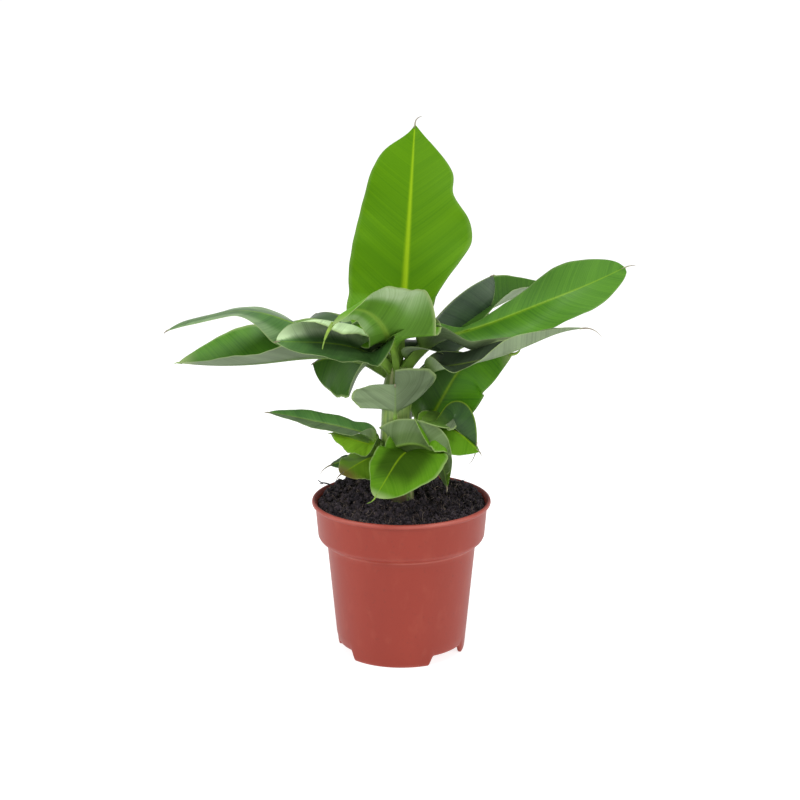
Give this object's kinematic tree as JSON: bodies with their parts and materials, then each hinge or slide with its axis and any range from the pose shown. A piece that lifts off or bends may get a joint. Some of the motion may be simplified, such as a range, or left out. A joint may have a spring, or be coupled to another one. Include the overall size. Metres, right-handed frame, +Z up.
{
  "type": "potted banana plant",
  "caption": "Young banana plant with broad arching leaves on one short sheathed stem, standing in a round plastic nursery pot of peat.",
  "frame": {"origin": "centre of the pot's flat underside", "axes": "+Z up along the pot's axis, -Y towards the plant's front, +X to the right as seen from the front"},
  "size_m": [0.3033, 0.1771, 0.352],
  "materials": {
    "pot_plastic": "thin moulded brick-red plastic, softly shiny, slightly scuffed at the rim and feet",
    "peat": "moist dark peat with crumbs and pale fibres, fully matt",
    "leaf_sheath": "smooth yellow-green rolled leaf sheaths with paler edges and brown dry patches",
    "leaf": "waxy green blade with fine parallel veins, paler midrib and bluish-green underside"
  },
  "bodies": {
    "root": {"pot": "pot_plastic", "soil": "peat", "pseudostem": "leaf_sheath", "back_high_leaf": "leaf", "back_left_leaf": "leaf", "back_low_leaf": "leaf", "back_mid_leaf": "leaf", "back_right_leaf": "leaf", "back_steep_leaf": "leaf", "front_leaf": "leaf", "front_leaf_tip": "leaf", "left_dark_leaf": "leaf", "left_long_leaf": "leaf", "left_low_leaf": "leaf", "low_arch_leaf": "leaf", "low_arch_leaf_tip": "leaf", "low_front_leaf": "leaf", "low_lime_leaf": "leaf", "low_narrow_leaf": "leaf", "low_right_leaf": "leaf", "low_tan_leaf": "leaf", "low_tiny_leaf": "leaf", "right_big_leaf": "leaf", "right_broad_leaf": "leaf", "right_droop_leaf": "leaf", "right_droop_leaf_tip": "leaf", "right_low_leaf": "leaf", "shield_leaf": "leaf", "upright_leaf": "leaf"}
  },
  "joints": []
}
